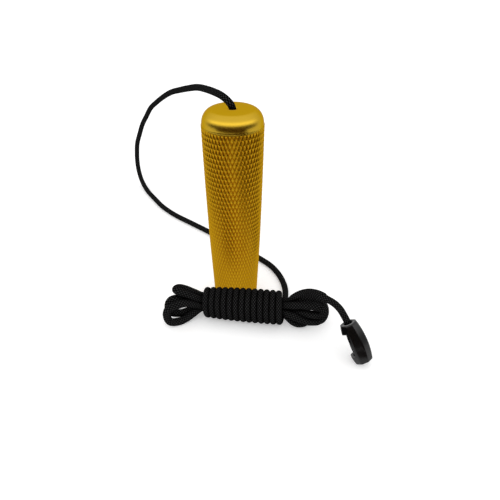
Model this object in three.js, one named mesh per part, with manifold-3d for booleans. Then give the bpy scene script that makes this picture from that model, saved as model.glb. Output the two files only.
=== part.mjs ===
// A knurled light pull: a turned handle hangs on a braided cord, which is wound into a hank
// and ends in a small barrel connector. Millimetres, +Z up, origin at the middle of the
// handle's base, which stands on the table.
import * as THREE from "three";
import { mergeVertices } from "three/addons/utils/BufferGeometryUtils.js";
import Module from "manifold-3d";

// handle
const handleHeight = 80;
const gripTopRadius = 11.2;
const gripBaseRadius = 9.1;
const gripBulge = 0.25;
const capHeight = 5.4;
const capStep = 0.3;
const capShoulder = 3.9;
const capShoulderDrop = 4.8;
const capCrown = 0.1;
const baseChamfer = 0.5;
const headThickness = 12;
const boreDiameter = 9;
const boreCone = 1.2;
const knurls = 52;
const knurlRows = 43;
const knurlDepth = 0.45;
const knurlCrowdingShare = 0.00169;
const shoulderSteps = 5;

// cord
const cordDiameter = 2.5;
const holeClearance = 0.7;
const holeChamfer = 0.35;
const stopKnotDiameter = 6.4;
const stopKnotLength = 5;
const endKnotDiameter = 4;
const endKnotLength = 4;
const knotSteps = 6;
const knotSides = 20;
const freeSides = 8;
const leadSteps = 78;
const tailSteps = 18;
const nodeGap = 0.3;

// hank: a bundle of seven strands with their bights, bound by a row of wraps
const wrapTurns = 12.75;
const wrapPitch = 2.36;
const woundDiameter = 1.75;
const woundSides = 6;
const turnSteps = 24;
const strandPitch = 2.56;
const waistBelly = 0.4;
const waistTaper = 0.33;
const hankTilt = 8.3;
const hankAside = 3.3;
const hankGap = 1.6;
const hankLift = 0.65;

// connector
const connectorLength = 15.3;
const connectorDiameter = 8;
const connectorCordEnd = 5.8;
const connectorFreeEnd = 6.1;
const connectorWall = 0.9;
const connectorEndWall = 1.8;
const cordCollar = 3;
const freeCollar = 3.3;
const connectorLean = 55.7;
const connectorTurn = 46.5;
const connectorRoll = 44.3;
const connectorAside = 40.8;
const connectorForward = -35.6;
const connectorFlats = 8;
const connectorBands = 6;
const cavitySides = 24;

// the cord's way from the handle's hole over to the hank, lying on the table at its end
const leadRoute = [
  [-1.2, -0.5, 82.4], [-3.5, 1.9, 83.6], [-6.3, 6.8, 83.4], [-9.9, 15.1, 82], [-14, 25.5, 79.6],
  [-18.9, 38.4, 75.5], [-24.8, 53.1, 70.4], [-31, 68.1, 64.9], [-36.9, 81.5, 58.8], [-42.5, 92, 52.8],
  [-47.8, 98.9, 47], [-51.5, 102.7, 41], [-54.5, 104, 35.9], [-56.5, 103.5, 30.8], [-58.3, 102.5, 25.6],
  [-59.2, 102.4, 20.2], [-60, 103.6, 14], [-60, 103.8, 8.5], [-58.8, 101.6, 4.2], [-56.2, 96.4, 1.9],
  [-52.4, 89, 1.3], [-47, 80, 1.3], [-42, 72.2, 1.3], [-34, 63, 1.3], [-24, 54.2, 1.3],
  [-14, 45.4, 1.3], [-4, 36.4, 1.3], [4.5, 28.6, 1.3], [11.4, 21.8, 1.3], [15.6, 16.8, 1.3],
  [18.5, 11.2, 1.3], [20.3, 5.4, 1.3], [21.1, -0.4, 1.3], [20.7, -6.2, 1.35],
];
// and from the hank's right-hand end up over to the connector
const tailRoute = [
  [21.4, -18.7, 10.4], [23.2, -18.9, 12.4], [25.4, -19.7, 14.6], [27.8, -21.6, 16.9], [30, -24.6, 19],
  [31.8, -27.5, 20.3], [33.6, -29.9, 20.7], [36, -31.9, 20.3], [38, -33.3, 18.8], [39.3, -34.4, 17],
];

// Strands lie in a hexagon round a core. Each has its angle in sixths of a turn, from the back.
const strandSixths = { backMid: 0, backTop: 1, frontTop: 2, frontMid: 3, frontLow: 4, backLow: 5 };
// The bights in the cord's order, in shares of its diameter: how far each reaches past the
// waist, half its width, how its middle swings back and rises, and the lean of its plane.
const bightShares = [
  { from: "backMid", to: "frontMid", side: 1, reach: 6.45, half: 1.94, swing: 0.91, rise: -0.87, lean: 24 },
  { from: "frontMid", to: "frontLow", side: -1, reach: 5, half: 1.7, swing: -2.6, rise: -0.04, lean: 90 },
  { from: "frontLow", to: "backLow", side: 1, reach: 3.61, half: 1.54, swing: 0.83, rise: -1.04, lean: 24 },
  { from: "backLow", to: "core", side: -1, reach: 5.29, half: 1.4, swing: -1.66, rise: 0.16, lean: 78 },
  { from: "core", to: "frontTop", side: 1, reach: 5.99, half: 0.86, swing: -0.71, rise: 0.25, lean: 90 },
  { from: "frontTop", to: "backTop", side: -1, reach: 4.16, half: 1.03, swing: -0.08, rise: 1.37, lean: -22 },
];
// One bight's outline: shares of its reach, how far it has opened, and how far it has closed.
const outlineShares = [[0.12, 0.19, 1], [0.46, 0.88, 1], [0.66, 1, 0.98], [0.92, 1, 0.75], [1, 1, 0]];
const strandShares = [0.5, 0.2, -0.2, -0.5];
// The hidden bight from the last wrap back into the bundle, in shares of the cord's diameter:
// outward from the last wrap, back from the bundle's middle and up.
const backBightShares = [
  [0.55, 2.25, -2.1], [1.6, 2.38, -2.2], [2.8, 2.44, -1.95], [3.75, 2.4, -1.45], [3.95, 2.2, -0.75],
  [3.1, 1.85, -0.32], [1.8, 1.4, -0.12],
];

const wasm = await Module();
wasm.setup();

const radians = THREE.MathUtils.degToRad;
const holeRadius = (cordDiameter + holeClearance) / 2;
const headBottom = handleHeight - headThickness;
const knotTop = headBottom - boreCone - nodeGap;
const endKnotStart = connectorEndWall + 2 * nodeGap;
const wrapRadius = strandPitch + cordDiameter;
const waistLength = (wrapTurns + 1) * wrapPitch;
const firstWrap = (wrapTurns * wrapPitch) / 2;
const firstWrapRadius = wrapRadius + waistTaper;
const lastWrapRadius = wrapRadius - waistTaper;
const hankRadius = wrapRadius + waistBelly + cordDiameter / 2;
const hankCentre = new THREE.Vector3(hankAside, -(gripBaseRadius + hankGap + hankRadius), hankRadius + hankLift);

function toSolid(geometry) {
  geometry.deleteAttribute("normal");
  geometry.deleteAttribute("uv");
  const merged = mergeVertices(geometry);
  return new wasm.Manifold(new wasm.Mesh({
    numProp: 3,
    vertProperties: new Float32Array(merged.attributes.position.array),
    triVerts: new Uint32Array(merged.index.array),
  }));
}

function toGeometry(solid) {
  const mesh = solid.getMesh();
  const geometry = new THREE.BufferGeometry();
  geometry.setAttribute("position", new THREE.BufferAttribute(mesh.vertProperties, 3));
  geometry.setIndex(new THREE.BufferAttribute(mesh.triVerts, 1));
  return geometry;
}

// A profile of [radius, height] pairs turned about the Z axis.
function turned(profile, sides) {
  const points = profile.map(([radius, height]) => new THREE.Vector2(radius, height));
  return new THREE.LatheGeometry(points, sides).rotateX(Math.PI / 2);
}

function part(name, geometry, material) {
  geometry.computeVertexNormals();
  const mesh = new THREE.Mesh(geometry, material);
  mesh.name = name;
  return mesh;
}

// A place in the hank: along its waist to the right, back and up. Its axis rises as the waist
// widens, so that all wraps lie on the table.
function inHank(along, back, up) {
  const tilt = radians(hankTilt);
  return new THREE.Vector3(
    hankCentre.x + along * Math.cos(tilt) + back * Math.sin(tilt),
    hankCentre.y - along * Math.sin(tilt) + back * Math.cos(tilt),
    hankCentre.z + up + (waistTaper * along) / firstWrap,
  );
}

// A cord that lies free, round in section, along a smooth curve through its points.
function freeTube(points, steps) {
  const section = new THREE.Shape();
  section.absarc(0, 0, cordDiameter / 2, 0, 2 * Math.PI);
  const path = new THREE.CatmullRomCurve3(points, false, "centripetal");
  return new THREE.ExtrudeGeometry(section, { steps, curveSegments: freeSides / 2, extrudePath: path });
}

// A wound cord: one unbroken tube whose rings stand at the given points, with flat ends.
function woundTube(points) {
  const positions = [];
  const faces = [];
  const side = new THREE.Vector3(0, 0, 1);
  points.forEach((point, ring) => {
    const before = points[Math.max(ring - 1, 0)];
    const after = points[Math.min(ring + 1, points.length - 1)];
    const ahead = after.clone().sub(before).normalize();
    if (!ring && Math.abs(ahead.z) > Math.abs(ahead.x)) side.set(1, 0, 0);
    side.addScaledVector(ahead, -side.dot(ahead)).normalize();
    const up = ahead.clone().cross(side);
    for (let k = 0; k < woundSides; k++) {
      const angle = (2 * Math.PI * k) / woundSides;
      const vertex = point.clone()
        .addScaledVector(side, (woundDiameter / 2) * Math.cos(angle))
        .addScaledVector(up, (woundDiameter / 2) * Math.sin(angle));
      positions.push(...vertex.toArray());
      const next = (k + 1) % woundSides;
      const a = ring * woundSides;
      if (ring) faces.push(a - woundSides + k, a - woundSides + next, a + next, a - woundSides + k, a + next, a + k);
    }
  });
  const last = (points.length - 1) * woundSides;
  for (let k = 1; k < woundSides - 1; k++) {
    faces.push(0, k + 1, k, last, last + k, last + k + 1);
  }
  const geometry = new THREE.BufferGeometry();
  geometry.setAttribute("position", new THREE.Float32BufferAttribute(positions, 3));
  geometry.setIndex(faces);
  return geometry;
}

// The least gap of a wound tube to itself, between stretches more than half a wrap apart.
function leastGap(points) {
  const curve = new THREE.CatmullRomCurve3(points, false, "centripetal");
  const samples = curve.getSpacedPoints(Math.ceil(curve.getLength() / (woundDiameter / 4)));
  const apart = Math.ceil((wrapRadius * 2) / (woundDiameter / 4));
  let least = Infinity;
  for (let i = 0; i < samples.length; i++) {
    for (let j = i + apart; j < samples.length; j++) {
      least = Math.min(least, samples[i].distanceTo(samples[j]));
    }
  }
  return least - woundDiameter;
}

function gripRadius(share) {
  const straight = THREE.MathUtils.lerp(gripBaseRadius, gripTopRadius, share);
  return straight + gripBulge * 4 * share * (1 - share);
}

// A closed profile of [radius, height, knurl row] turned about the Z axis. Along each knurl row
// crests and valleys take turns, and every cell folds along its valley corners, so that the
// rows stand as diamonds.
function knurled(profile, sides) {
  const positions = [];
  const faces = [];
  profile.forEach(([radius, height, row], ring) => {
    const isKnurl = row !== undefined;
    const after = ((ring + 1) % profile.length) * sides;
    for (let k = 0; k < sides; k++) {
      const isValley = (k + (row ?? ring)) % 2 === 0;
      const out = isKnurl && isValley ? radius - knurlDepth : radius;
      const angle = (2 * Math.PI * k) / sides;
      positions.push(out * Math.cos(angle), out * Math.sin(angle), height);
      const next = (k + 1) % sides;
      const [a, b, c, d] = [ring * sides + k, after + k, after + next, ring * sides + next];
      if (isValley) faces.push(a, b, c, a, c, d);
      else faces.push(a, b, d, b, c, d);
    }
  });
  const geometry = new THREE.BufferGeometry();
  geometry.setAttribute("position", new THREE.Float32BufferAttribute(positions, 3));
  geometry.setIndex(faces);
  return geometry;
}

// The handle: a long tapered grip with a diamond knurl, a smooth rounded cap with the cord's
// hole through it, and an open bore from below, where the stop knot sits against the head.
function handle(material) {
  const gripTop = handleHeight - capHeight;
  const profile = [[boreDiameter / 2, 0]];
  profile.push([boreDiameter / 2, headBottom - boreCone], [holeRadius, headBottom]);
  profile.push([holeRadius, handleHeight - holeChamfer], [holeRadius + holeChamfer, handleHeight]);
  const capRadius = gripTopRadius - capStep;
  for (let k = 0; k <= shoulderSteps; k++) {
    const angle = (Math.PI / 2) * (1 - k / shoulderSteps);
    profile.push([
      capRadius - capShoulder * (1 - Math.cos(angle)),
      handleHeight - capCrown - capShoulderDrop * (1 - Math.sin(angle)),
    ]);
  }
  profile.push([capRadius, gripTop]);
  const crowded = (row) => row * (1 - knurlCrowdingShare * row);
  for (let row = 0; row <= knurlRows; row++) {
    const share = 1 - crowded(row) / crowded(knurlRows);
    profile.push([gripRadius(share), baseChamfer + (gripTop - baseChamfer) * share, row]);
  }
  profile.push([gripBaseRadius - knurlDepth - baseChamfer, 0]);
  return part("handle", knurled(profile, 2 * knurls), material);
}

// A knot as a rounded solid round the Z axis, flat where the cord goes in and where it ends.
function knot(name, diameter, length, material) {
  const widest = Math.acos(cordDiameter / diameter);
  const profile = [[0, -length / 2]];
  for (let k = 0; k <= knotSteps; k++) {
    const angle = widest * ((2 * k) / knotSteps - 1);
    profile.push([(diameter / 2) * Math.cos(angle), (length / 2) * (Math.sin(angle) / Math.sin(widest))]);
  }
  profile.push([0, length / 2]);
  return part(name, turned(profile, knotSides), material);
}

// Where a strand runs through the waist: back and up from the bundle's middle.
function strandPlace(name) {
  if (name === "core") return new THREE.Vector2();
  const angle = (strandSixths[name] * Math.PI) / 3;
  return new THREE.Vector2(strandPitch * Math.cos(angle), strandPitch * Math.sin(angle));
}

function strandPoints(name, side) {
  const { x: back, y: up } = strandPlace(name);
  return strandShares.map((share) => inHank(side * share * waistLength, back, up));
}

// A bight: out past the waist along one strand's line, round, and back along the next.
function bightPoints({ from, to, side, reach, half, swing, rise, lean }) {
  const start = strandPlace(from);
  const end = strandPlace(to);
  const middle = start.clone().add(end).multiplyScalar(1 / 2);
  const apart = start.clone().sub(end).multiplyScalar(1 / 2);
  const across = new THREE.Vector2(Math.cos(radians(lean)), Math.sin(radians(lean)));
  if (across.dot(apart) < 0) across.negate();
  across.multiplyScalar(half * cordDiameter);
  const drift = new THREE.Vector2(swing, rise).multiplyScalar(cordDiameter);
  const point = ([out, opened, open], direction) => {
    const place = middle.clone().addScaledVector(drift, out * out * (3 - 2 * out));
    place.addScaledVector(apart, direction * open * (1 - opened));
    place.addScaledVector(across, direction * open * opened);
    return inHank(side * (waistLength / 2 + reach * cordDiameter * out), place.x, place.y);
  };
  const outward = outlineShares.map((share) => point(share, 1));
  const inward = outlineShares.slice(0, -1).reverse().map((share) => point(share, -1));
  return [...outward, ...inward];
}

// The wraps: a helix round the bundle from right to left, up the front and down the back.
function wrapPoints() {
  const steps = Math.round(wrapTurns * turnSteps);
  const points = [inHank(firstWrap, woundDiameter, -firstWrapRadius)];
  for (let k = 0; k <= steps; k++) {
    const along = firstWrap * (1 - (2 * k) / steps);
    const angle = -Math.PI / 2 - (2 * Math.PI * wrapTurns * k) / steps;
    const share = along / firstWrap;
    const radius = wrapRadius + waistTaper * share + waistBelly * (1 - share ** 2);
    points.push(inHank(along, radius * Math.cos(angle), radius * Math.sin(angle)));
  }
  points.push(inHank(-firstWrap, lastWrapRadius, -woundDiameter));
  return points;
}

// The bundle: a hidden bight from the last wrap, then strand and bight in turn.
function loopPoints() {
  const start = -woundDiameter - nodeGap;
  const points = [start, start - woundDiameter].map((up) => inHank(-firstWrap, lastWrapRadius, up));
  for (const [out, back, up] of backBightShares) {
    points.push(inHank(-firstWrap - out * cordDiameter, back * cordDiameter, up * cordDiameter));
  }
  for (const bight of bightShares) {
    points.push(...strandPoints(bight.from, -bight.side), ...bightPoints(bight));
  }
  points.push(...strandPoints(bightShares.at(-1).to, -1));
  return points;
}

function leadPoints() {
  const start = new THREE.Vector3(0, 0, knotTop + nodeGap);
  const mouth = new THREE.Vector3(0, 0, handleHeight);
  const route = leadRoute.map((place) => new THREE.Vector3(...place));
  const lastAlong = firstWrap + nodeGap;
  const end = inHank(lastAlong, woundDiameter + nodeGap, -firstWrapRadius);
  const before = inHank(lastAlong + nodeGap, woundDiameter + cordDiameter, -firstWrapRadius - nodeGap);
  return [start, mouth, ...route, before, end];
}

// The connector's own frame: its axis along Z from the cord's end. It stands on the rim of its
// free end and leans back, held up by the cord.
function connectorFrame() {
  const lean = radians(connectorLean);
  const group = new THREE.Group();
  const rim = connectorFreeEnd / 2 / Math.cos(Math.PI / connectorFlats);
  const rise = connectorLength * Math.sin(lean) + rim * Math.cos(lean);
  group.position.set(connectorAside, connectorForward, rise);
  group.rotation.set(Math.PI / 2 + lean, 0, radians(connectorTurn), "ZYX");
  return group.rotateZ(radians(connectorRoll));
}

function connectorRadius(share) {
  const ends = THREE.MathUtils.lerp(connectorCordEnd, connectorFreeEnd, share) / 2;
  return ends + (connectorDiameter / 2 - (connectorCordEnd + connectorFreeEnd) / 4) * 4 * share * (1 - share);
}

// The connector: a barrel with eight soft flats, a cord hole through each end wall and a
// window in its side, through which the cord's end knot is laid into it.
function connector(material) {
  const outer = [[0, 0]];
  for (let k = 0; k <= connectorBands; k++) {
    const share = k / connectorBands;
    outer.push([connectorRadius(share) / Math.cos(Math.PI / connectorFlats), connectorLength * share]);
  }
  outer.push([0, connectorLength]);
  const cavityEnd = connectorLength - connectorEndWall;
  const cavity = [[0, connectorEndWall]];
  for (let k = 0; k <= connectorBands; k++) {
    const height = THREE.MathUtils.lerp(connectorEndWall, cavityEnd, k / connectorBands);
    cavity.push([connectorRadius(height / connectorLength) - connectorWall, height]);
  }
  cavity.push([0, cavityEnd]);
  const overrun = connectorWall;
  const hole = new THREE.CylinderGeometry(holeRadius, holeRadius, connectorLength + 2 * overrun, cavitySides);
  hole.rotateX(Math.PI / 2).translate(0, 0, connectorLength / 2);
  const windowLength = connectorLength - cordCollar - freeCollar;
  const windowHeight = connectorDiameter - 2 * connectorWall;
  const window = new THREE.BoxGeometry(connectorDiameter, windowHeight, windowLength);
  window.translate(-connectorDiameter / 2, 0, cordCollar + windowLength / 2);
  const flats = turned(outer, connectorFlats);
  flats.rotateZ(Math.PI / connectorFlats);
  const solid = toSolid(flats).subtract(toSolid(turned(cavity, cavitySides)))
    .subtract(toSolid(hole)).subtract(toSolid(window));
  return part("connector", toGeometry(solid), material);
}

function tailPoints(frame) {
  frame.updateMatrixWorld();
  const { x: back, y: up } = strandPlace("backTop");
  const route = tailRoute.map((place) => new THREE.Vector3(...place));
  return [
    inHank(waistLength / 2 + nodeGap, back, up),
    ...route,
    new THREE.Vector3(0, 0, 0).applyMatrix4(frame.matrixWorld),
    new THREE.Vector3(0, 0, endKnotStart - nodeGap).applyMatrix4(frame.matrixWorld),
  ];
}

const gold = new THREE.MeshStandardMaterial({ color: 0xc9971c, metalness: 0.9, roughness: 0.35 });
const braid = new THREE.MeshStandardMaterial({ color: 0x0b0b0c, metalness: 0, roughness: 0.9 });
const plastic = new THREE.MeshStandardMaterial({ color: 0x101012, metalness: 0, roughness: 0.4 });

const lightPull = new THREE.Group();
lightPull.add(handle(gold));

const stopKnot = knot("stop_knot", stopKnotDiameter, stopKnotLength, braid);
stopKnot.position.z = knotTop - stopKnotLength / 2;
lightPull.add(stopKnot);

lightPull.add(part("cord_lead", freeTube(leadPoints(), leadSteps), braid));

const wraps = wrapPoints();
lightPull.add(part("cord_wrap", woundTube(wraps), braid));
const loops = loopPoints();
lightPull.add(part("cord_loops", woundTube(loops), braid));
console.log("least gap of the wraps", leastGap(wraps).toFixed(2), "and of the loops", leastGap(loops).toFixed(2));

const connectorGroup = connectorFrame();
lightPull.add(part("cord_tail", freeTube(tailPoints(connectorGroup), tailSteps), braid));
connectorGroup.add(connector(plastic));
const connectorKnot = knot("connector_knot", endKnotDiameter, endKnotLength, braid);
connectorKnot.position.z = endKnotStart + endKnotLength / 2;
connectorGroup.add(connectorKnot);
lightPull.add(connectorGroup);

export default lightPull;
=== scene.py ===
import math

import bmesh
import bpy
from mathutils import Euler, Matrix, Vector


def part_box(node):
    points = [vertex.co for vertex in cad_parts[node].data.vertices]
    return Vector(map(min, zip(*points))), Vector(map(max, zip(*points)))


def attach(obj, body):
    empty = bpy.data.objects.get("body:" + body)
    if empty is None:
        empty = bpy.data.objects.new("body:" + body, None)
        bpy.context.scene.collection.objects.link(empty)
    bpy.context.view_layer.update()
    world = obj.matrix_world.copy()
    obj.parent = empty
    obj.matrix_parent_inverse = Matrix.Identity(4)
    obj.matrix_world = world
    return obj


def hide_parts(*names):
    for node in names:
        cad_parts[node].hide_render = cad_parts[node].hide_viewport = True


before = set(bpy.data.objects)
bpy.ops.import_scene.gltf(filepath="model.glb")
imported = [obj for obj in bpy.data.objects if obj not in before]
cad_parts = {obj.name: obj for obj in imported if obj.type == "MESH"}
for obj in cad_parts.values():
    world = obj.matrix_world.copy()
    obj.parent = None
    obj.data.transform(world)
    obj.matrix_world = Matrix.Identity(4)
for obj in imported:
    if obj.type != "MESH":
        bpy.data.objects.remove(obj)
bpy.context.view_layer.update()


# The camera. It stands in front of the handle and looks down on it, at the angle at which the
# photograph was taken.
camera_place = (0.0060, -0.1678, 0.13605)
camera_pitch = 34.3


def add_object(name, data):
    """An object in the scene, at the origin and unturned."""
    added = bpy.data.objects.new(name, data)
    bpy.context.scene.collection.objects.link(added)
    return added


camera_data = bpy.data.cameras.new("camera")
camera_data.sensor_width = 36.0
camera_data.lens = 36.0
camera_data.clip_start = 0.01
camera = add_object("camera", camera_data)
camera.location = camera_place
camera.rotation_euler = (math.radians(90 - camera_pitch), 0, 0)
bpy.context.scene.camera = camera
bpy.context.scene.view_settings.view_transform = "Standard"


# The cord: one length of round black polyester braid. It is knotted under the handle's head,
# leaves by the hole in the cap, lies behind the handle, is wrapped round its own bundle of
# bights as a hank, and ends in the connector.
cord_width = 0.0025
cord_fullness = 0.0001
floor_gap = 0.00002
cord_exit = (0, 0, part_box("handle")[1][2])
head_thickness = 0.012
head_bottom = cord_exit[2] - head_thickness
wrap_turns = 12.75
wrap_pitch = 0.00236
turn_steps = 24
curve_step = 0.0006
wound_width = 0.00175
node_gap = 0.0003
strand_pitch = 0.00256
waist_belly = 0.0004
waist_taper = 0.00033
hank_tilt = math.radians(8.3)
grip_base_radius = 0.0091
hank_gap = 0.0016
hank_lift = 0.00065
hank_aside = 0.0033
wrap_radius = strand_pitch + cord_width
waist_length = (wrap_turns + 1) * wrap_pitch
first_wrap = wrap_turns * wrap_pitch / 2
first_radius, last_radius = wrap_radius + waist_taper, wrap_radius - waist_taper
hank_radius = wrap_radius + waist_belly + cord_width / 2
hank_depth = grip_base_radius + hank_gap + hank_radius
hank_centre = Vector((hank_aside, -hank_depth, hank_radius + hank_lift))

lead_route = [
    (-0.0012, -0.0005, 0.0824), (-0.0035, 0.0019, 0.0836), (-0.0063, 0.0068, 0.0834),
    (-0.0099, 0.0151, 0.082), (-0.014, 0.0255, 0.0796), (-0.0189, 0.0384, 0.0755),
    (-0.0248, 0.0531, 0.0704), (-0.031, 0.0681, 0.0649), (-0.0369, 0.0815, 0.0588),
    (-0.0425, 0.092, 0.0528), (-0.0478, 0.0989, 0.047), (-0.0515, 0.1027, 0.041),
    (-0.0545, 0.104, 0.0359), (-0.0565, 0.1035, 0.0308), (-0.0583, 0.1025, 0.0256),
    (-0.0592, 0.1024, 0.0202), (-0.06, 0.1036, 0.014), (-0.06, 0.1038, 0.0085),
    (-0.0588, 0.1016, 0.0042), (-0.0562, 0.0964, 0.0019), (-0.0524, 0.089, 0.0013),
    (-0.047, 0.08, 0.0013), (-0.042, 0.0722, 0.0013), (-0.034, 0.063, 0.0013),
    (-0.024, 0.0542, 0.0013), (-0.014, 0.0454, 0.0013), (-0.004, 0.0364, 0.0013),
    (0.0045, 0.0286, 0.0013), (0.0114, 0.0218, 0.0013), (0.0156, 0.0168, 0.0013),
    (0.0185, 0.0112, 0.0013), (0.0203, 0.0054, 0.0013), (0.0211, -0.0004, 0.0013),
    (0.0207, -0.0062, 0.00135),
]
tail_route = [
    (0.0214, -0.0187, 0.0104), (0.0232, -0.0189, 0.0124), (0.0254, -0.0197, 0.0146),
    (0.0278, -0.0216, 0.0169), (0.03, -0.0246, 0.019), (0.0318, -0.0275, 0.0203),
    (0.0336, -0.0299, 0.0207), (0.036, -0.0319, 0.0203), (0.038, -0.0333, 0.0188),
    (0.0393, -0.0344, 0.017),
]
# The bundle is a core with six strands round it, at these sixths of a turn.
strand_sixths = {
    "back_mid": 0, "back_top": 1, "front_top": 2, "front_mid": 3, "front_low": 4, "back_low": 5,
}
# One line a bight: from, to, side, then reach, half width, swing and rise in shares of the
# cord's width, and the lean of its plane in degrees.
bight_shares = [
    ("back_mid", "front_mid", 1, 6.45, 1.94, 0.91, -0.87, 24),
    ("front_mid", "front_low", -1, 5, 1.7, -2.6, -0.04, 90),
    ("front_low", "back_low", 1, 3.61, 1.54, 0.83, -1.04, 24),
    ("back_low", "core", -1, 5.29, 1.4, -1.66, 0.16, 78),
    ("core", "front_top", 1, 5.99, 0.86, -0.71, 0.25, 90),
    ("front_top", "back_top", -1, 4.16, 1.03, -0.08, 1.37, -22),
]
# A bight's outline: how far out, how far opened, and the share of its half width there.
outline_shares = [(0.12, 0.19, 1), (0.46, 0.88, 1), (0.66, 1, 0.98), (0.92, 1, 0.75), (1, 1, 0)]
strand_shares = (0.5, 0.2, -0.2, -0.5)
# The bight from the last wrap into the bundle: out, back and up in shares of the width.
back_bight_shares = [
    (0.55, 2.25, -2.1), (1.6, 2.38, -2.2), (2.8, 2.44, -1.95), (3.75, 2.4, -1.45),
    (3.95, 2.2, -0.75), (3.1, 1.85, -0.32), (1.8, 1.4, -0.12),
]


def in_hank(along, back, up):
    """A place in the hank: along its waist to the right, back and up."""
    turn = math.cos(hank_tilt), math.sin(hank_tilt)
    rise = up + waist_taper * along / first_wrap
    aside = along * turn[0] + back * turn[1]
    return hank_centre + Vector((aside, back * turn[0] - along * turn[1], rise))


def strand_place(name):
    """A strand's place in the bundle's cross section, back and up from its core."""
    if name == "core":
        return Vector((0, 0))
    angle = strand_sixths[name] * math.pi / 3
    return strand_pitch * Vector((math.cos(angle), math.sin(angle)))


def bight_points(start, end, side, reach, half, swing, rise, lean):
    """A bight that stands out of one end of the waist and joins two strands."""
    start, end = strand_place(start), strand_place(end)
    middle, apart = (start + end) / 2, (start - end) / 2
    lean = math.radians(lean)
    across = Vector((math.cos(lean), math.sin(lean))) * half * cord_width
    if across.dot(apart) < 0:
        across.negate()
    drift = Vector((swing, rise)) * cord_width
    outward = [(share, 1) for share in outline_shares]
    inward = [(share, -1) for share in outline_shares[-2::-1]]
    points = []
    for (out, opened, open_share), way in outward + inward:
        place = middle + drift * out * out * (3 - 2 * out)
        place += way * open_share * (apart * (1 - opened) + across * opened)
        along = side * (waist_length / 2 + reach * cord_width * out)
        points.append(in_hank(along, *place))
    return points


def wrap_points():
    """The wraps, from right to left, on a waist that is full in the middle and tapers."""
    steps = round(wrap_turns * turn_steps)
    for k in range(steps + 1):
        along = first_wrap * (1 - 2 * k / steps)
        angle = -math.pi / 2 - 2 * math.pi * wrap_turns * k / steps
        share = along / first_wrap
        radius = wrap_radius + waist_taper * share + waist_belly * (1 - share ** 2)
        yield in_hank(along, radius * math.cos(angle), radius * math.sin(angle))


def bundle_points():
    """The bundle inside the wraps: in from the last wrap, then strand by strand and bight."""
    start = -wound_width - node_gap
    for up in (start, start - wound_width):
        yield in_hank(-first_wrap, last_radius, up)
    for out, back, up in back_bight_shares:
        yield in_hank(-first_wrap - out * cord_width, back * cord_width, up * cord_width)
    for bight in bight_shares:
        for share in strand_shares:
            yield in_hank(-bight[2] * share * waist_length, *strand_place(bight[0]))
        yield from bight_points(*bight)
    for share in strand_shares:
        yield in_hank(-share * waist_length, *strand_place(bight_shares[-1][1]))


def smooth(points, step):
    """A centripetal Catmull-Rom curve through the points, as places about a step apart."""
    ends = [2 * points[0] - points[1], *points, 2 * points[-1] - points[-2]]
    curve = []
    for before, start, end, after in zip(ends, ends[1:], ends[2:], ends[3:]):
        knots = [0.0]
        for here, there in ((before, start), (start, end), (end, after)):
            knots.append(knots[-1] + (there - here).length ** 0.5)
        count = max(1, round((end - start).length / step))
        for k in range(count):
            t = knots[1] + (knots[2] - knots[1]) * k / count

            def mix(a, b, i, j):
                span = knots[j] - knots[i]
                return a * ((knots[j] - t) / span) + b * ((t - knots[i]) / span)

            first, second = mix(before, start, 0, 1), mix(start, end, 1, 2)
            third = mix(end, after, 2, 3)
            curve.append(mix(mix(first, second, 0, 2), mix(second, third, 1, 3), 1, 2))
    return curve + [points[-1]]


# The cord runs into the connector, so the connector's place is settled here.
connector_length = 0.0153
connector_width = 0.008
barrel_ends = (0.0029, 0.00305)
connector_lean = math.radians(55.7)
connector_rise = connector_length * math.sin(connector_lean)
connector_rise += barrel_ends[1] / math.cos(math.pi / 8) * math.cos(connector_lean)
connector_place = Vector((0.0408, -0.0356, connector_rise))
connector_turn = Euler((math.pi / 2 + connector_lean, 0, math.radians(46.5))).to_matrix()
connector_turn = connector_turn @ Matrix.Rotation(math.radians(44.3), 3, "Z")
connector_axis = connector_turn.col[2]
end_wall = 0.0018
end_knot_start = end_wall + 2 * node_gap

stop_knot_top = Vector((0, 0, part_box("stop_knot")[1][2]))
cord_points = [stop_knot_top, Vector((0, 0, head_bottom)), Vector(cord_exit)]
cord_points += [Vector(place) for place in lead_route]
cord_points += [
    in_hank(first_wrap + 2 * node_gap, wound_width + cord_width, -first_radius - node_gap),
    in_hank(first_wrap + node_gap, wound_width + node_gap, -first_radius),
]
cord_points += [*wrap_points(), *bundle_points()]
cord_points += [Vector(place) for place in tail_route]
cord_points += [connector_place, connector_place + connector_axis * end_knot_start]
cord_path = smooth(cord_points, curve_step)
cord_length = sum((b - a).length for a, b in zip(cord_path, cord_path[1:]))

waist_axis = in_hank(1, 0, 0) - in_hank(0, 0, 0)
press_swell = 0.00028
press_run = 0.003
press_reach = 0.034
press_top = 0.024
press_right = 0.0325


def bight_swell(place):
    """In the ends of the hank the limp cord is pressed flat and stands out a little more."""
    outside = abs((place - hank_centre).dot(waist_axis)) - waist_length / 2
    if (place - hank_centre).length > press_reach or place.z > press_top or place.x > press_right:
        return 0
    return press_swell * min(max(outside / press_run, 0), 1)


def new_tree(kind, name, inputs, outputs):
    """A node group with named sockets; inputs and outputs are (name, type, default)."""
    tree = bpy.data.node_groups.new(name, kind)
    for way, sockets in (("INPUT", inputs), ("OUTPUT", outputs)):
        for socket_name, socket_type, *default in sockets:
            socket = tree.interface.new_socket(
                socket_name, in_out=way, socket_type="NodeSocket" + socket_type)
            if default:
                socket.default_value = default[0]
    given = tree.nodes.new("NodeGroupInput").outputs
    return tree, given, tree.nodes.new("NodeGroupOutput").inputs


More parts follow.
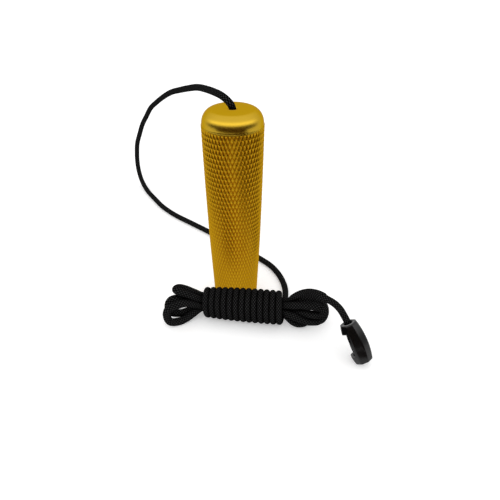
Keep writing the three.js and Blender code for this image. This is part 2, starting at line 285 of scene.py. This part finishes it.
def node(tree, kind, settings=None, **inputs):
    """Adds a node and fills its inputs, each by name or, as _0, by number."""
    added = tree.nodes.new(kind)
    for name, value in (settings or {}).items():
        setattr(added, name, value)
    for name, value in inputs.items():
        by_number = name[1:].isdigit()
        socket = added.inputs[int(name[1:]) if by_number else name.replace("_", " ")]
        if isinstance(value, bpy.types.NodeSocket):
            tree.links.new(value, socket)
        else:
            socket.default_value = value
    return added


def maths(tree, operation, *values):
    """A Math node's output, for shader and geometry trees alike."""
    return node(tree, "ShaderNodeMath", {"operation": operation},
                **{f"_{k}": value for k, value in enumerate(values)}).outputs[0]


def kept(tree, geometry, name, value, domain="POINT", kind="FLOAT", **more):
    """Keeps a value on a mesh or curve under a name."""
    return node(tree, "GeometryNodeStoreNamedAttribute", {"data_type": kind, "domain": domain},
                Geometry=geometry, Name=name, Value=value, **more).outputs[0]


def recalled(tree, name):
    """A value that was kept under a name."""
    return node(tree, "GeometryNodeInputNamedAttribute", {"data_type": "FLOAT"},
                Name=name).outputs[0]


def end_tree(tree, geometry, material, result):
    """Ends a geometry tree in plain faces of one material."""
    faces = node(tree, "GeometryNodeRealizeInstances", Geometry=geometry).outputs[0]
    faces = node(tree, "GeometryNodeSetMaterial", Geometry=faces, Material=material).outputs[0]
    tree.links.new(faces, result)


braid_strands = 8
braid_threads = 3
braid_pitch = 0.00114
braid_height = 0.00006


def braid_relief(tree, around, along, strands, pitch):
    """Height of a plain braid, 0 to 1, from places round and along a cord."""
    turn = maths(tree, "MULTIPLY", around, strands)
    run = maths(tree, "DIVIDE", along, pitch)
    first, second = maths(tree, "ADD", turn, run), maths(tree, "SUBTRACT", turn, run)
    cells = [maths(tree, "FLOOR", share) for share in (first, second)]
    over = maths(tree, "PINGPONG", maths(tree, "ADD", *cells), 1)
    under = maths(tree, "SUBTRACT", 1, over)
    ridges, bows = [], []
    for share, cell in zip((first, second), cells):
        inside = maths(tree, "SUBTRACT", share, cell)
        arch = maths(tree, "SINE", maths(tree, "MULTIPLY", inside, math.pi))
        ridges.append(maths(tree, "POWER", arch, 0.6))
        bows.append(maths(tree, "MULTIPLY_ADD", arch, 0.45, 0.55))
    tops = [maths(tree, "MULTIPLY", ridge, bow) for ridge, bow in zip(ridges, bows[::-1])]
    return maths(tree, "ADD", maths(tree, "MULTIPLY", tops[0], over),
                 maths(tree, "MULTIPLY", tops[1], under))


def cord_tree():
    """Sweeps a round braid along a chain of edges, with its strands as relief."""
    tree, given, result = new_tree("GeometryNodeTree", "braided_cord", [
        ("Geometry", "Geometry"), ("Width", "Float", cord_width), ("Relief", "Float", braid_height),
        ("Sides", "Int", 24), ("Step", "Float", 0.00038), ("Strands", "Float", braid_strands),
        ("Pitch", "Float", braid_pitch), ("Material", "Material")], [("Geometry", "Geometry")])
    path = node(tree, "GeometryNodeMeshToCurve", Mesh=given["Geometry"]).outputs[0]
    path = node(tree, "GeometryNodeResampleCurve", {"mode": "LENGTH"}, Curve=path,
                Length=given["Step"]).outputs[0]
    path = kept(tree, path, "along", node(tree, "GeometryNodeSplineParameter").outputs["Length"])
    radius = maths(tree, "SUBTRACT", maths(tree, "DIVIDE", given["Width"], 2), given["Relief"])
    ring = node(tree, "GeometryNodeCurvePrimitiveCircle", Resolution=given["Sides"],
                Radius=radius).outputs[0]
    ring = kept(tree, ring, "around", node(tree, "GeometryNodeSplineParameter").outputs["Factor"])
    tube = node(tree, "GeometryNodeCurveToMesh", Curve=path, Profile_Curve=ring,
                Fill_Caps=True).outputs[0]
    around, along = recalled(tree, "around"), recalled(tree, "along")
    height = braid_relief(tree, around, along, given["Strands"], given["Pitch"])
    out = maths(tree, "MULTIPLY_ADD", height, given["Relief"], recalled(tree, "swell"))
    lift = node(tree, "ShaderNodeVectorMath", {"operation": "SCALE"},
                _0=node(tree, "GeometryNodeInputNormal").outputs[0], Scale=out).outputs[0]
    tube = node(tree, "GeometryNodeSetPosition", Geometry=tube, Offset=lift).outputs[0]
    # Where it lies on the floor the limp cord is pressed flat.
    position = node(tree, "GeometryNodeInputPosition").outputs[0]
    spot = node(tree, "ShaderNodeSeparateXYZ", _0=position).outputs
    rested = node(tree, "ShaderNodeCombineXYZ", X=spot["X"], Y=spot["Y"],
                  Z=maths(tree, "MAXIMUM", spot["Z"], floor_gap)).outputs[0]
    tube = node(tree, "GeometryNodeSetPosition", Geometry=tube, Position=rested).outputs[0]
    # The last column of faces closes the ring, so there the start counts as a whole turn.
    mean = node(tree, "GeometryNodeFieldOnDomain", {"data_type": "FLOAT", "domain": "FACE"},
                _0=around).outputs[0]
    closing = maths(tree, "MULTIPLY", maths(tree, "LESS_THAN", around, 0.01),
                    maths(tree, "GREATER_THAN", mean, 0.3))
    place = node(tree, "ShaderNodeCombineXYZ", X=maths(tree, "ADD", around, closing),
                 Y=along).outputs[0]
    tube = kept(tree, tube, "UVMap", place, "CORNER", "FLOAT2")
    tube = node(tree, "GeometryNodeSetShadeSmooth", _0=tube, Shade_Smooth=True).outputs[0]
    end_tree(tree, tube, given["Material"], result[0])
    return tree


def grown(name, mesh, tree, **inputs):
    """The plain mesh object that a geometry tree makes of a mesh."""
    source = add_object(name + "_source", mesh)
    modifier = source.modifiers.new(tree.name, "NODES")
    modifier.node_group = tree
    for item in tree.interface.items_tree:
        if item.in_out == "INPUT" and item.name in inputs:
            modifier[item.identifier] = inputs[item.name]
    depsgraph = bpy.context.evaluated_depsgraph_get()
    plain = bpy.data.meshes.new_from_object(source.evaluated_get(depsgraph))
    source.modifiers.clear()
    bpy.data.objects.remove(source)
    plain.name = name
    return add_object(name, plain)


def polyline(name, points, swell=()):
    """A chain of edges; swell is how far the cord stands out more at each point."""
    mesh = bpy.data.meshes.new(name)
    edges = [(k, k + 1) for k in range(len(points) - 1)]
    mesh.from_pydata([tuple(point) for point in points], edges, [])
    swells = mesh.attributes.new("swell", "FLOAT", "POINT")
    for item, value in zip(swells.data, swell):
        item.value = value
    return mesh


def surface(name, color, **settings):
    """A material with its Principled BSDF, whose settings are given by name."""
    material = bpy.data.materials.new(name)
    material.use_nodes = True
    shader = material.node_tree.nodes["Principled BSDF"]
    shader.inputs["Base Color"].default_value = (*color, 1)
    for setting, value in settings.items():
        shader.inputs[setting.replace("_", " ")].default_value = value
    return material, material.node_tree, shader


def smooth_step(tree, value, start, end, low=0.0, high=1.0):
    """Low up to the start and high from the end, with a soft step between."""
    return node(tree, "ShaderNodeMapRange", {"interpolation_type": "SMOOTHSTEP"}, Value=value,
                From_Min=start, From_Max=end, To_Min=low, To_Max=high).outputs[0]


def color_between(tree, share, first, second):
    """The first colour at share 0 and the second at 1."""
    return node(tree, "ShaderNodeMix", {"data_type": "RGBA"}, _0=share, _6=first,
                _7=second).outputs[2]


def black_braid():
    """Matt black yarn: fine threads in each strand, painted shade in the gaps between strands and
    between the hank's turns, and some unevenness.
    """
    material, tree, shader = surface("black_braid", (0.007, 0.007, 0.007), Roughness=0.6,
                                     Specular_IOR_Level=0.0)
    uv = node(tree, "ShaderNodeUVMap", {"uv_map": "UVMap"}).outputs[0]
    around, along = node(tree, "ShaderNodeSeparateXYZ", _0=uv).outputs[:2]
    relief = braid_relief(tree, around, along, braid_strands, braid_pitch)
    threads = maths(tree, "ADD", maths(tree, "MULTIPLY", around, braid_strands * braid_threads),
                    maths(tree, "DIVIDE", along, braid_pitch / braid_threads))
    threads = maths(tree, "SINE", maths(tree, "MULTIPLY", threads, 2 * math.pi))
    height = maths(tree, "MULTIPLY_ADD", threads, 0.12, relief)
    bump = node(tree, "ShaderNodeBump", Strength=0.6, Distance=0.0001, Height=height)
    tree.links.new(bump.outputs[0], shader.inputs["Normal"])
    noise = node(tree, "ShaderNodeTexNoise", Scale=900.0, Detail=2.0,
                 Vector=node(tree, "ShaderNodeTexCoord").outputs["Object"]).outputs[0]
    # Painted shade: the colour is darker in the gaps between the braid's strands, where the relief
    # is low; the noise adds some unevenness.
    painted_shade_and_unevenness = maths(tree, "MULTIPLY", smooth_step(tree, relief, 0.5, 1.0),
                 maths(tree, "MULTIPLY_ADD", noise, 1.0, 0.5))
    # Between the turns of the hank hardly any light gets in, and this shade is painted into the
    # colour.
    hidden = node(tree, "ShaderNodeAmbientOcclusion", {"samples": 8}, Distance=0.0016).outputs["AO"]
    painted_shade_and_unevenness = maths(tree, "MULTIPLY", painted_shade_and_unevenness, maths(tree, "POWER", hidden, 2.2))
    color = color_between(tree, painted_shade_and_unevenness, (0.0002, 0.0002, 0.0002, 1), (0.032, 0.032, 0.0324, 1))
    tree.links.new(color, shader.inputs["Base Color"])
    return material


braid = black_braid()
braided = cord_tree()
cord_line = polyline("cord_path", cord_path, [bight_swell(place) for place in cord_path])
cord = grown("cord", cord_line, braided, Width=cord_width + cord_fullness, Material=braid)
# The metal is too soft a mirror to show the cord, so mirrored rays pass it.
cord.visible_glossy = False
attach(cord, "cord")
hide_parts("cord_lead", "cord_wrap", "cord_loops", "cord_tail")


# The knots: the cord is tied in a stop knot under the handle's head, which the handle hangs
# on, and in a small end knot inside the connector. Both are drawn tight, in the same braid.
stop_knot_reach = 0.0041
stop_knot_cord = 0.0021
end_knot_reach = 0.0022
end_knot_cord = 0.0013
knot_steps = 33


def knot_points(top, ahead, reach, thickness):
    """An overhand knot drawn tight: the cord comes in at top and leaves along ahead."""
    side = ahead.orthogonal().normalized()
    up = ahead.cross(side)
    scale = (reach - thickness / 2) / 3
    middle = top + ahead * (scale + thickness / 2)
    points = [top]
    for k in range(knot_steps - 3):
        t = 2 * math.pi * (k + 1.5) / knot_steps
        out = scale * (2 + math.cos(3 * t))
        points.append(middle + side * out * math.cos(2 * t) + up * out * math.sin(2 * t)
                      + ahead * scale * math.sin(3 * t))
    points.append(middle + ahead * (scale + thickness))
    return smooth(points, thickness / 4)


down = Vector((0, 0, -1))
stop_knot_line = knot_points(stop_knot_top, down, stop_knot_reach, stop_knot_cord)
stop_knot = grown("stop_knot_braid", polyline("stop_knot_path", stop_knot_line), braided,
                  Width=stop_knot_cord, Material=braid)
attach(stop_knot, "cord")
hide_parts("stop_knot")

end_knot_top = connector_place + connector_axis * end_knot_start
end_knot_line = knot_points(end_knot_top, connector_axis, end_knot_reach, end_knot_cord)
end_knot = grown("end_knot_braid", polyline("end_knot_path", end_knot_line), braided,
                 Width=end_knot_cord, Material=braid)
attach(end_knot, "cord")
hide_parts("connector_knot")


# The handle: turned from gold-anodised aluminium, with a smooth rounded cap, a diamond knurl
# rolled over the whole tapered grip, a hole for the cord and an open bore from below. Its
# knurl is cut as rows of raised diamonds whose count stays the same down the taper.
handle_height = cord_exit[2]
grip_top_radius = 0.0112
grip_bulge = 0.00025
cap_height = 0.0054
cap_step = 0.0003
cap_shoulder = 0.0039
cap_drop = 0.0048
cap_crown = 0.0001
cap_rings = ((0.0035, 0.1), (0.0053, 0.5))
cap_edge = 0.00012
base_chamfer = 0.0005
bore_radius = 0.0045
bore_mouth = 0.0003
bore_rings = (0.02, 0.045)
bore_cone = 0.0012
hole_radius = 0.0016
hole_chamfer = 0.00035
knurls = 52
knurl_rows = 43
row_crowding = 0.00169
knurl_depth = 0.00034
knurl_fade = (0.004, 0.03, 0.5)
knurl_lip = 0.00022
grip_top = handle_height - cap_height


def grip_radius(z):
    """Radius over the knurl's crests: a taper with a slight bulge."""
    share = (z - base_chamfer) / (grip_top - base_chamfer)
    taper = (grip_top_radius - grip_base_radius) * share
    return grip_base_radius + taper + grip_bulge * 4 * share * (1 - share)


def arc(centre, radius, start, end, steps):
    """Places on an arc as (radius, height), its angles in degrees from outward to upward."""
    for k in range(steps + 1):
        angle = math.radians(start + (end - start) * k / steps)
        yield centre[0] + radius * math.cos(angle), centre[1] + radius * math.sin(angle)


def add_ring(mesh, radius, z, count):
    """A ring of vertices round the handle's axis."""
    angles = [2 * math.pi * k / count for k in range(count)]
    return [mesh.verts.new((radius * math.cos(a), radius * math.sin(a), z)) for a in angles]


def add_band(mesh, upper, lower):
    """A band of faces between two rings."""
    for k in range(len(upper)):
        after = (k + 1) % len(upper)
        mesh.faces.new((upper[k], lower[k], lower[after], upper[after]))


def crowded(row):
    """How far down a knurl row is: the rows come a little closer towards the base."""
    return row * (1 - row_crowding * row)


def handle_mesh():
    """The turned blank with one face for each diamond, marked for the knurl tree."""
    mesh = bmesh.new()
    is_knurl = mesh.faces.layers.float.new("knurl")
    columns = 2 * knurls
    cap_radius = grip_top_radius - cap_step
    lip_radius = grip_radius(grip_top) - knurl_lip / 3
    valley = knurl_depth + knurl_lip / 3
    hole_top = handle_height - hole_chamfer
    # Up the bore and the hole, over the cap and down to the first row of the knurl.
    profile = [(bore_radius + bore_mouth, 0), (bore_radius, bore_mouth)]
    profile += [(bore_radius, z) for z in bore_rings]
    profile += [(bore_radius, head_bottom - bore_cone), (hole_radius, head_bottom)]
    profile += [(hole_radius, hole_top)]
    profile += arc((hole_radius + hole_chamfer, hole_top), hole_chamfer, 180, 90, 6)
    profile += [(out, handle_height - cap_crown * share) for out, share in cap_rings]
    for out, up in arc((cap_radius - cap_shoulder, 0), cap_shoulder, 90, 0, 20):
        profile.append((out, handle_height - cap_crown + (up / cap_shoulder - 1) * cap_drop))
    profile += [(cap_radius, grip_top + cap_edge), (cap_radius + cap_edge, grip_top)]
    profile += [(lip_radius - knurl_lip / 2, grip_top), (lip_radius, grip_top - knurl_lip / 2)]
    profile += [(lip_radius, grip_top - knurl_lip)]
    knurl_top = grip_top - 1.6 * knurl_lip
    profile += [(grip_radius(knurl_top) - valley, knurl_top)]
    rings = [add_ring(mesh, *place, columns) for place in profile]
    for upper, lower in zip(rings, rings[1:]):
        add_band(mesh, upper, lower)
    # The diamonds' corners: every other column in each row.
    rows = [dict(enumerate(rings[-1]))]
    knurl_end = base_chamfer + 0.0001
    for row in range(1, knurl_rows):
        z = knurl_top - (knurl_top - knurl_end) * crowded(row) / crowded(knurl_rows)
        out = grip_radius(z) - valley
        corners = {}
        for k in range(row % 2, columns, 2):
            angle = math.pi * k / knurls
            corners[k] = mesh.verts.new((out * math.cos(angle), out * math.sin(angle), z))
        rows.append(corners)
    foot = grip_base_radius - valley
    base = [add_ring(mesh, *place, columns) for place in (
        (foot, knurl_end), (foot - 0.0001, base_chamfer * 0.4), (foot - 0.0005, 0))]
    rows.append(dict(enumerate(base[0])))
    for row in range(knurl_rows + 1):
        for k in range((row + 1) % 2, columns, 2):
            above = rows[row - 1][k] if row else rows[0][k]
            below = rows[row + 1][k] if row < knurl_rows else rows[row][k]
            before, after = rows[row][(k - 1) % columns], rows[row][(k + 1) % columns]
            mesh.faces.new((above, before, below, after))[is_knurl] = 1
    for upper, lower in zip(base, base[1:] + rings[:1]):
        add_band(mesh, upper, lower)
    plain = bpy.data.meshes.new("handle_blank")
    mesh.to_mesh(plain)
    mesh.free()
    return plain


def knurl_tree():
    """Raises each diamond in two steps, a steep flank and a crest, shallower at the foot."""
    tree, given, result = new_tree("GeometryNodeTree", "diamond_knurl", [
        ("Geometry", "Geometry"), ("Depth", "Float", knurl_depth),
        ("Fade Start", "Float", knurl_fade[0]), ("Fade End", "Float", knurl_fade[1]),
        ("Fade Share", "Float", knurl_fade[2]), ("Flank", "Float", 0.45), ("Crest", "Float", 0.6),
        ("Material", "Material")], [("Geometry", "Geometry")])
    position = node(tree, "GeometryNodeInputPosition").outputs[0]
    height = node(tree, "ShaderNodeSeparateXYZ", _0=position).outputs["Z"]
    fade = smooth_step(tree, height, given["Fade Start"], given["Fade End"], given["Fade Share"])
    depth = maths(tree, "MULTIPLY", given["Depth"], fade)
    # The crest mark rises from 0 in the grooves to 1 on the crests; the gold material paints shade
    # into the grooves from it.
    body = kept(tree, given["Geometry"], "crest", 0.0)
    chosen = recalled(tree, "knurl")
    for share, size, mark in ((0.7, given["Flank"], 0.6), (0.3, given["Crest"], 1.0)):
        raised = node(tree, "GeometryNodeExtrudeMesh", {"mode": "FACES"}, Mesh=body,
                      Selection=chosen, Offset_Scale=maths(tree, "MULTIPLY", depth, share),
                      Individual=True).outputs
        chosen = raised["Top"]
        body = node(tree, "GeometryNodeScaleElements", {"domain": "FACE"},
                    Geometry=raised["Mesh"], Selection=chosen, Scale=size).outputs[0]
        body = kept(tree, body, "crest", mark, Selection=chosen)
    body = node(tree, "GeometryNodeSetShadeSmooth", _0=body, Shade_Smooth=True).outputs[0]
    body = node(tree, "GeometryNodeSetShadeSmooth", _0=body, Selection=recalled(tree, "knurl"),
                Shade_Smooth=False).outputs[0]
    end_tree(tree, body, given["Material"], result[0])
    return tree


def grain_group():
    """Fine grain: its height, and the normal that it gives."""
    tree, given, result = new_tree("ShaderNodeTree", "fine_grain", [
        ("Scale", "Float", 1500.0), ("Strength", "Float", 0.2), ("Depth", "Float", 0.00003)],
        [("Height", "Float"), ("Normal", "Vector")])
    noise = node(tree, "ShaderNodeTexNoise", Scale=given["Scale"], Detail=3.0,
                 Vector=node(tree, "ShaderNodeTexCoord").outputs["Object"]).outputs[0]
    bump = node(tree, "ShaderNodeBump", Strength=given["Strength"], Distance=given["Depth"],
                Height=noise)
    tree.links.new(noise, result["Height"])
    tree.links.new(bump.outputs[0], result["Normal"])
    return tree


def placed(tree, group, **inputs):
    """Puts a node group in a material with its own values, and gives back its outputs."""
    return node(tree, "ShaderNodeGroup", {"node_tree": group}, **inputs).outputs


def gold_anodised():
    """Satin gold, with painted shade that makes it darker and deeper in the knurl's grooves, and
    the fine grain of a blasted surface.
    """
    material, tree, shader = surface(
        "gold_anodised", (0.63, 0.4, 0.033), Roughness=0.28, Specular_IOR_Level=0.1,
        Specular_Tint=(0.8, 0.62, 0.35, 1))
    knurled = node(tree, "ShaderNodeAttribute", {"attribute_name": "knurl"}).outputs["Fac"]
    crest = node(tree, "ShaderNodeAttribute", {"attribute_name": "crest"}).outputs["Fac"]
    # Painted shade: the knurl's colour is darker in its grooves than on its crests.
    knurl_with_painted_groove_shade = color_between(tree, crest, (0.47, 0.22, 0.005, 1), (0.66, 0.385, 0.014, 1))
    color = color_between(tree, knurled, (0.63, 0.4, 0.033, 1), knurl_with_painted_groove_shade)
    tree.links.new(color, shader.inputs["Base Color"])
    tree.links.new(maths(tree, "MULTIPLY_ADD", knurled, -0.1, 1.0), shader.inputs["Metallic"])
    blasted = placed(tree, grain, Scale=2500.0, Strength=0.15, Depth=0.00002)
    tree.links.new(blasted["Normal"], shader.inputs["Normal"])
    return material


grain = grain_group()
handle = grown("handle_body", handle_mesh(), knurl_tree(), Material=gold_anodised())
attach(handle, "handle")
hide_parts("handle")


# The connector: a small moulded barrel of black plastic with eight flats and soft edges. The
# cord goes in through one end, its end knot sits inside, and a window in the side is where
# the knot was laid in; the free end has the same hole for the cord of the switch.
flats = 8
column_turns = (-22.5, -20.6, -18.8, -17, 0, 17, 18.8, 20.6)
window_middles = (135, 225)
corner_reach = 1.058
barrel_wall = 0.0009
collars = (0.003, 0.0033)
edge = 0.00035
edge_steps = 5
window_steps = 12
rim_round = 0.0002


def barrel_radius(share):
    """How far the flats are from the axis, widest in the middle of the barrel."""
    ends = barrel_ends[0] + (barrel_ends[1] - barrel_ends[0]) * share
    return ends + (connector_width / 2 - sum(barrel_ends) / 2) * 4 * share * (1 - share)


def steps_between(start, end, count):
    """Evenly spaced lengths after the start, up to the end."""
    return [start + (end - start) * k / count for k in range(1, count + 1)]


def connector_mesh():
    """The barrel's outside, holes and chamber as rings, with the window cut through both."""
    mesh = bmesh.new()
    columns = [(360 / flats * flat, turn) for flat in range(flats) for turn in column_turns]
    opened = connector_width / 2 - barrel_wall
    first, last = collars[0], connector_length - collars[1]
    far_wall = connector_length - end_wall
    rounding_turns = [math.radians(90 / edge_steps * k) for k in range(edge_steps + 1)]
    outer = [edge * (1 - math.cos(turn)) for turn in rounding_turns]
    outer += steps_between(edge, first, 4) + steps_between(first, last, window_steps)
    outer += steps_between(last, connector_length - edge, 4)
    outer += [connector_length - edge + edge * math.sin(turn) for turn in rounding_turns[1:]]
    inner = [end_wall] + steps_between(end_wall, first, 3)
    inner += steps_between(first, last, window_steps) + steps_between(last, far_wall, 3)

    def rounding(along):
        near = min(along, connector_length - along)
        return edge - math.sqrt(max(edge * edge - (edge - min(near, edge)) ** 2, 0))

    def ring(along, reach, flat):
        """A ring with a column on each edge of the window; flat rings have the eight flats."""
        places = []
        for middle, turn in columns:
            corner = reach / math.cos(math.radians(turn))
            out = min(corner, reach * corner_reach) if flat else reach
            angle = math.radians(middle + turn)
            if turn == 0 and middle in window_middles:
                aside = math.asin(min(opened / out, 0.9))
                angle = math.pi - math.copysign(aside, 180 - middle)
                if flat:
                    out = reach / math.cos(angle - math.radians(middle))
            places.append(mesh.verts.new((out * math.cos(angle), out * math.sin(angle), along)))
        return places

    def barrel_ring(along, inset, flat):
        return ring(along, barrel_radius(along / connector_length) - inset, flat)

    outside = [barrel_ring(along, rounding(along), True) for along in outer]
    inside = [barrel_ring(along, barrel_wall, False) for along in inner]
    holes = [[ring(along, hole_radius + spare, False) for along, spare in edges] for edges in (
        ((0, rim_round), (rim_round, 0), (end_wall - rim_round, 0), (end_wall, rim_round)),
        ((far_wall, rim_round), (far_wall + rim_round, 0),
         (connector_length - rim_round, 0), (connector_length, rim_round)))]
    loop = outside[::-1] + holes[0] + inside + holes[1]
    for upper, lower in zip(loop, loop[1:] + loop[:1]):
        add_band(mesh, upper, lower)
    # The window: both walls lose their faces there, and its rim joins them again.
    left, right = (columns.index((middle, 0)) for middle in window_middles)
    gone, rims = [], []
    for rings, lengths in ((outside, outer), (inside, inner)):
        start, end = (min(range(len(lengths)), key=lambda k: abs(lengths[k] - at))
                      for at in (first, last))
        rows = [whole[left:right + 1] for whole in rings[start:end + 1]]
        window = {vert for row in rows for vert in row}
        gone += [face for face in mesh.faces if all(vert in window for vert in face.verts)]
        rims.append(rows[0] + [row[-1] for row in rows[1:-1]]
                    + rows[-1][::-1] + [row[0] for row in rows[-2:0:-1]])
    bmesh.ops.delete(mesh, geom=gone, context="FACES")
    outer_rim, inner_rim = rims
    for k in range(len(outer_rim)):
        after = (k + 1) % len(outer_rim)
        mesh.faces.new((outer_rim[k], outer_rim[after], inner_rim[after], inner_rim[k]))
    bmesh.ops.recalc_face_normals(mesh, faces=mesh.faces)
    for face in mesh.faces:
        face.smooth = True
    mesh.transform(Matrix.Translation(connector_place) @ connector_turn.to_4x4())
    plain = bpy.data.meshes.new("connector_body")
    mesh.to_mesh(plain)
    mesh.free()
    return plain


def black_plastic():
    """Moulded black plastic, whose fine grain also makes its gloss uneven."""
    material, tree, shader = surface("black_plastic", (0.003, 0.003, 0.0032),
                                     Specular_IOR_Level=0.4)
    moulded = placed(tree, grain, Scale=1500.0, Strength=0.2, Depth=0.00003)
    tree.links.new(moulded["Normal"], shader.inputs["Normal"])
    gloss = maths(tree, "MULTIPLY_ADD", moulded["Height"], 0.12, 0.14)
    tree.links.new(gloss, shader.inputs["Roughness"])
    return material


connector = add_object("connector_body", connector_mesh())
bevel = connector.modifiers.new("edges", "BEVEL")
bevel.width = 0.00014
bevel.segments = 3
bevel.limit_method = "ANGLE"
bevel.angle_limit = math.radians(50)
bevel.harden_normals = True
connector.data.materials.append(black_plastic())
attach(connector, "connector")
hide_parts("connector")


# The stage: a white paper floor in a white studio tent, one wide soft box above the camera,
# and a dark screen behind it, which only the shiny surfaces mirror.
floor_half = 2.5
cap_middle = Vector((0, 0, 0.077))
soft_box_place = Vector((-0.06, -0.38, 0.43))
soft_box_size = (1.7, 0.28)
screen_y = -0.19
painted_shadow_z = 0.0004
card_x = 0.029


def stage_sheet(name, corners, faces, material):
    """A flat piece of the studio, which isn't part of the object."""
    mesh = bpy.data.meshes.new(name)
    mesh.from_pydata(corners, [], faces)
    mesh.materials.append(material)
    sheet = add_object(name, mesh)
    return sheet


def mirror_only(sheet):
    """Leaves a sheet to mirrored rays alone."""
    sheet.visible_camera = sheet.visible_diffuse = False
    sheet.visible_shadow = sheet.visible_transmission = False


def mix_shaders(tree, share, first, second):
    """Ends a material in the first shader at share 0 and the second at 1."""
    both = node(tree, "ShaderNodeMixShader", _0=share, _1=first, _2=second).outputs[0]
    tree.links.new(both, tree.nodes["Material Output"].inputs["Surface"])


def white_paper():
    """White paper that takes shadows and looks white to the camera and to mirrored rays."""
    material, tree, shader = surface("white_paper", (0.9, 0.9, 0.9), Roughness=1.0,
                                     Specular_IOR_Level=0.0)
    shader.inputs["Emission Color"].default_value = (1, 1, 1, 1)
    ray = node(tree, "ShaderNodeLightPath").outputs
    lift = maths(tree, "MULTIPLY", ray["Is Camera Ray"], 0.3)
    tree.links.new(lift, shader.inputs["Emission Strength"])
    mirrored = node(tree, "ShaderNodeEmission", Strength=0.85).outputs[0]
    mix_shaders(tree, ray["Is Glossy Ray"], shader.outputs[0], mirrored)
    return material


floor_corners = [(x, y, 0) for x, y in (
    (-floor_half, -floor_half), (floor_half, -floor_half), (floor_half, floor_half),
    (-floor_half, floor_half))]
stage_sheet("floor", floor_corners, [(0, 1, 2, 3)], white_paper())


# The tent is white all round. A strip light and a dark gap under it are bent round its front,
# so that both follow the rim of the cap. Each lies where a surface of a given tilt mirrors it
# to the front, and only mirrored rays see them.
strip_tilt, strip_half, strip_glow = 0.515, 0.08, 1.05
gap_tilts = (0.12, 0.385)
gap_shade = 0.96
front_turns = (0.65, 1.08)


def studio_tent():
    """The world: the tent's light, by direction."""
    world = bpy.data.worlds.new("studio_tent")
    world.use_nodes = True
    tree = world.node_tree
    direction = node(tree, "ShaderNodeTexCoord").outputs["Generated"]
    height = node(tree, "ShaderNodeSeparateXYZ", _0=direction).outputs["Z"]
    glow = smooth_step(tree, height, 0.3, 0.9, 0.8, 1.0)
    front = (Vector(camera_place) - cap_middle).normalized()
    tilt = node(tree, "ShaderNodeVectorMath", {"operation": "ADD"}, _0=direction,
                _1=front).outputs[0]
    tilt = node(tree, "ShaderNodeVectorMath", {"operation": "NORMALIZE"}, _0=tilt).outputs[0]
    tilt = node(tree, "ShaderNodeSeparateXYZ", _0=tilt).outputs
    turn = maths(tree, "ARCTAN2", tilt["X"], maths(tree, "MULTIPLY", tilt["Y"], -1))
    in_front = smooth_step(tree, maths(tree, "ABSOLUTE", turn), *front_turns, 1.0, 0.0)
    off = maths(tree, "DIVIDE", maths(tree, "SUBTRACT", tilt["Z"], strip_tilt), strip_half)
    strip = maths(tree, "EXPONENT", maths(tree, "MULTIPLY", maths(tree, "MULTIPLY", off, off), -1))
    strip = maths(tree, "MULTIPLY", maths(tree, "MULTIPLY", strip, in_front), strip_glow)
    gap = maths(tree, "COMPARE", tilt["Z"], sum(gap_tilts) / 2, (gap_tilts[1] - gap_tilts[0]) / 2)
    gap = maths(tree, "MULTIPLY_ADD", maths(tree, "MULTIPLY", gap, in_front), -gap_shade, 1.0)
    mirrored = maths(tree, "MULTIPLY", maths(tree, "ADD", glow, strip), gap)
    ray = node(tree, "ShaderNodeLightPath").outputs
    lit = node(tree, "ShaderNodeMix", {"data_type": "FLOAT"}, _0=ray["Is Glossy Ray"], _2=glow,
               _3=mirrored).outputs[0]
    background = tree.nodes["Background"].inputs
    tree.links.new(maths(tree, "MAXIMUM", lit, ray["Is Camera Ray"]), background["Strength"])
    background["Color"].default_value = (1, 1, 1, 1)
    return world


bpy.context.scene.world = studio_tent()

lamp_data = bpy.data.lights.new("soft_box", "AREA")
lamp_data.shape = "RECTANGLE"
lamp_data.size, lamp_data.size_y = soft_box_size
lamp_data.energy = 1.2
lamp = add_object("soft_box", lamp_data)
lamp.location = soft_box_place
lamp.rotation_euler = (cap_middle - soft_box_place).to_track_quat("-Z", "Y").to_euler()
lamp.visible_glossy = False

# The screen stands behind the camera, and in front of it a dark sheet on the floor is a painted
# shadow; only mirrored rays see either.
screen_corners = [(x, screen_y, z) for x, z in (
    (-0.33, 0.008), (0.26, 0.008), (0.21, 0.163), (-0.27, 0.163))]
painted_shadow_corners = [(x, y, painted_shadow_z) for x, y in (
    (0.01, screen_y), (0.2, screen_y), (0.15, -0.06), (0.05, -0.06))]
dark_cloth_and_painted_shadow = surface("dark_cloth_and_painted_shadow", (0.05, 0.02, 0.004), Roughness=1.0, Specular_IOR_Level=0.0)[0]
mirror_only(stage_sheet("dark_screen_and_painted_shadow", screen_corners + painted_shadow_corners,
                        [(0, 3, 2, 1), (4, 5, 6, 7)], dark_cloth_and_painted_shadow))


def painted_hank_reflection():
    """Painted reflection of the hank: dark on the side towards the connector, and clear from the
    other side.
    """
    material, tree, shader = surface("painted_hank_reflection", (0.01, 0.01, 0.01), Roughness=1.0,
                                     Specular_IOR_Level=0.0)
    behind = node(tree, "ShaderNodeNewGeometry").outputs["Backfacing"]
    clear = node(tree, "ShaderNodeBsdfTransparent").outputs[0]
    mix_shaders(tree, behind, shader.outputs[0], clear)
    return material


# The hank's image in the connector, which lies close beside it, comes from a small card.
card_corners = [(card_x, y, z) for y, z in (
    (-0.055, 0), (-0.005, 0), (-0.005, 0.016), (-0.055, 0.016))]
mirror_only(stage_sheet("dark_card", card_corners, [(0, 1, 2, 3)], painted_hank_reflection()))
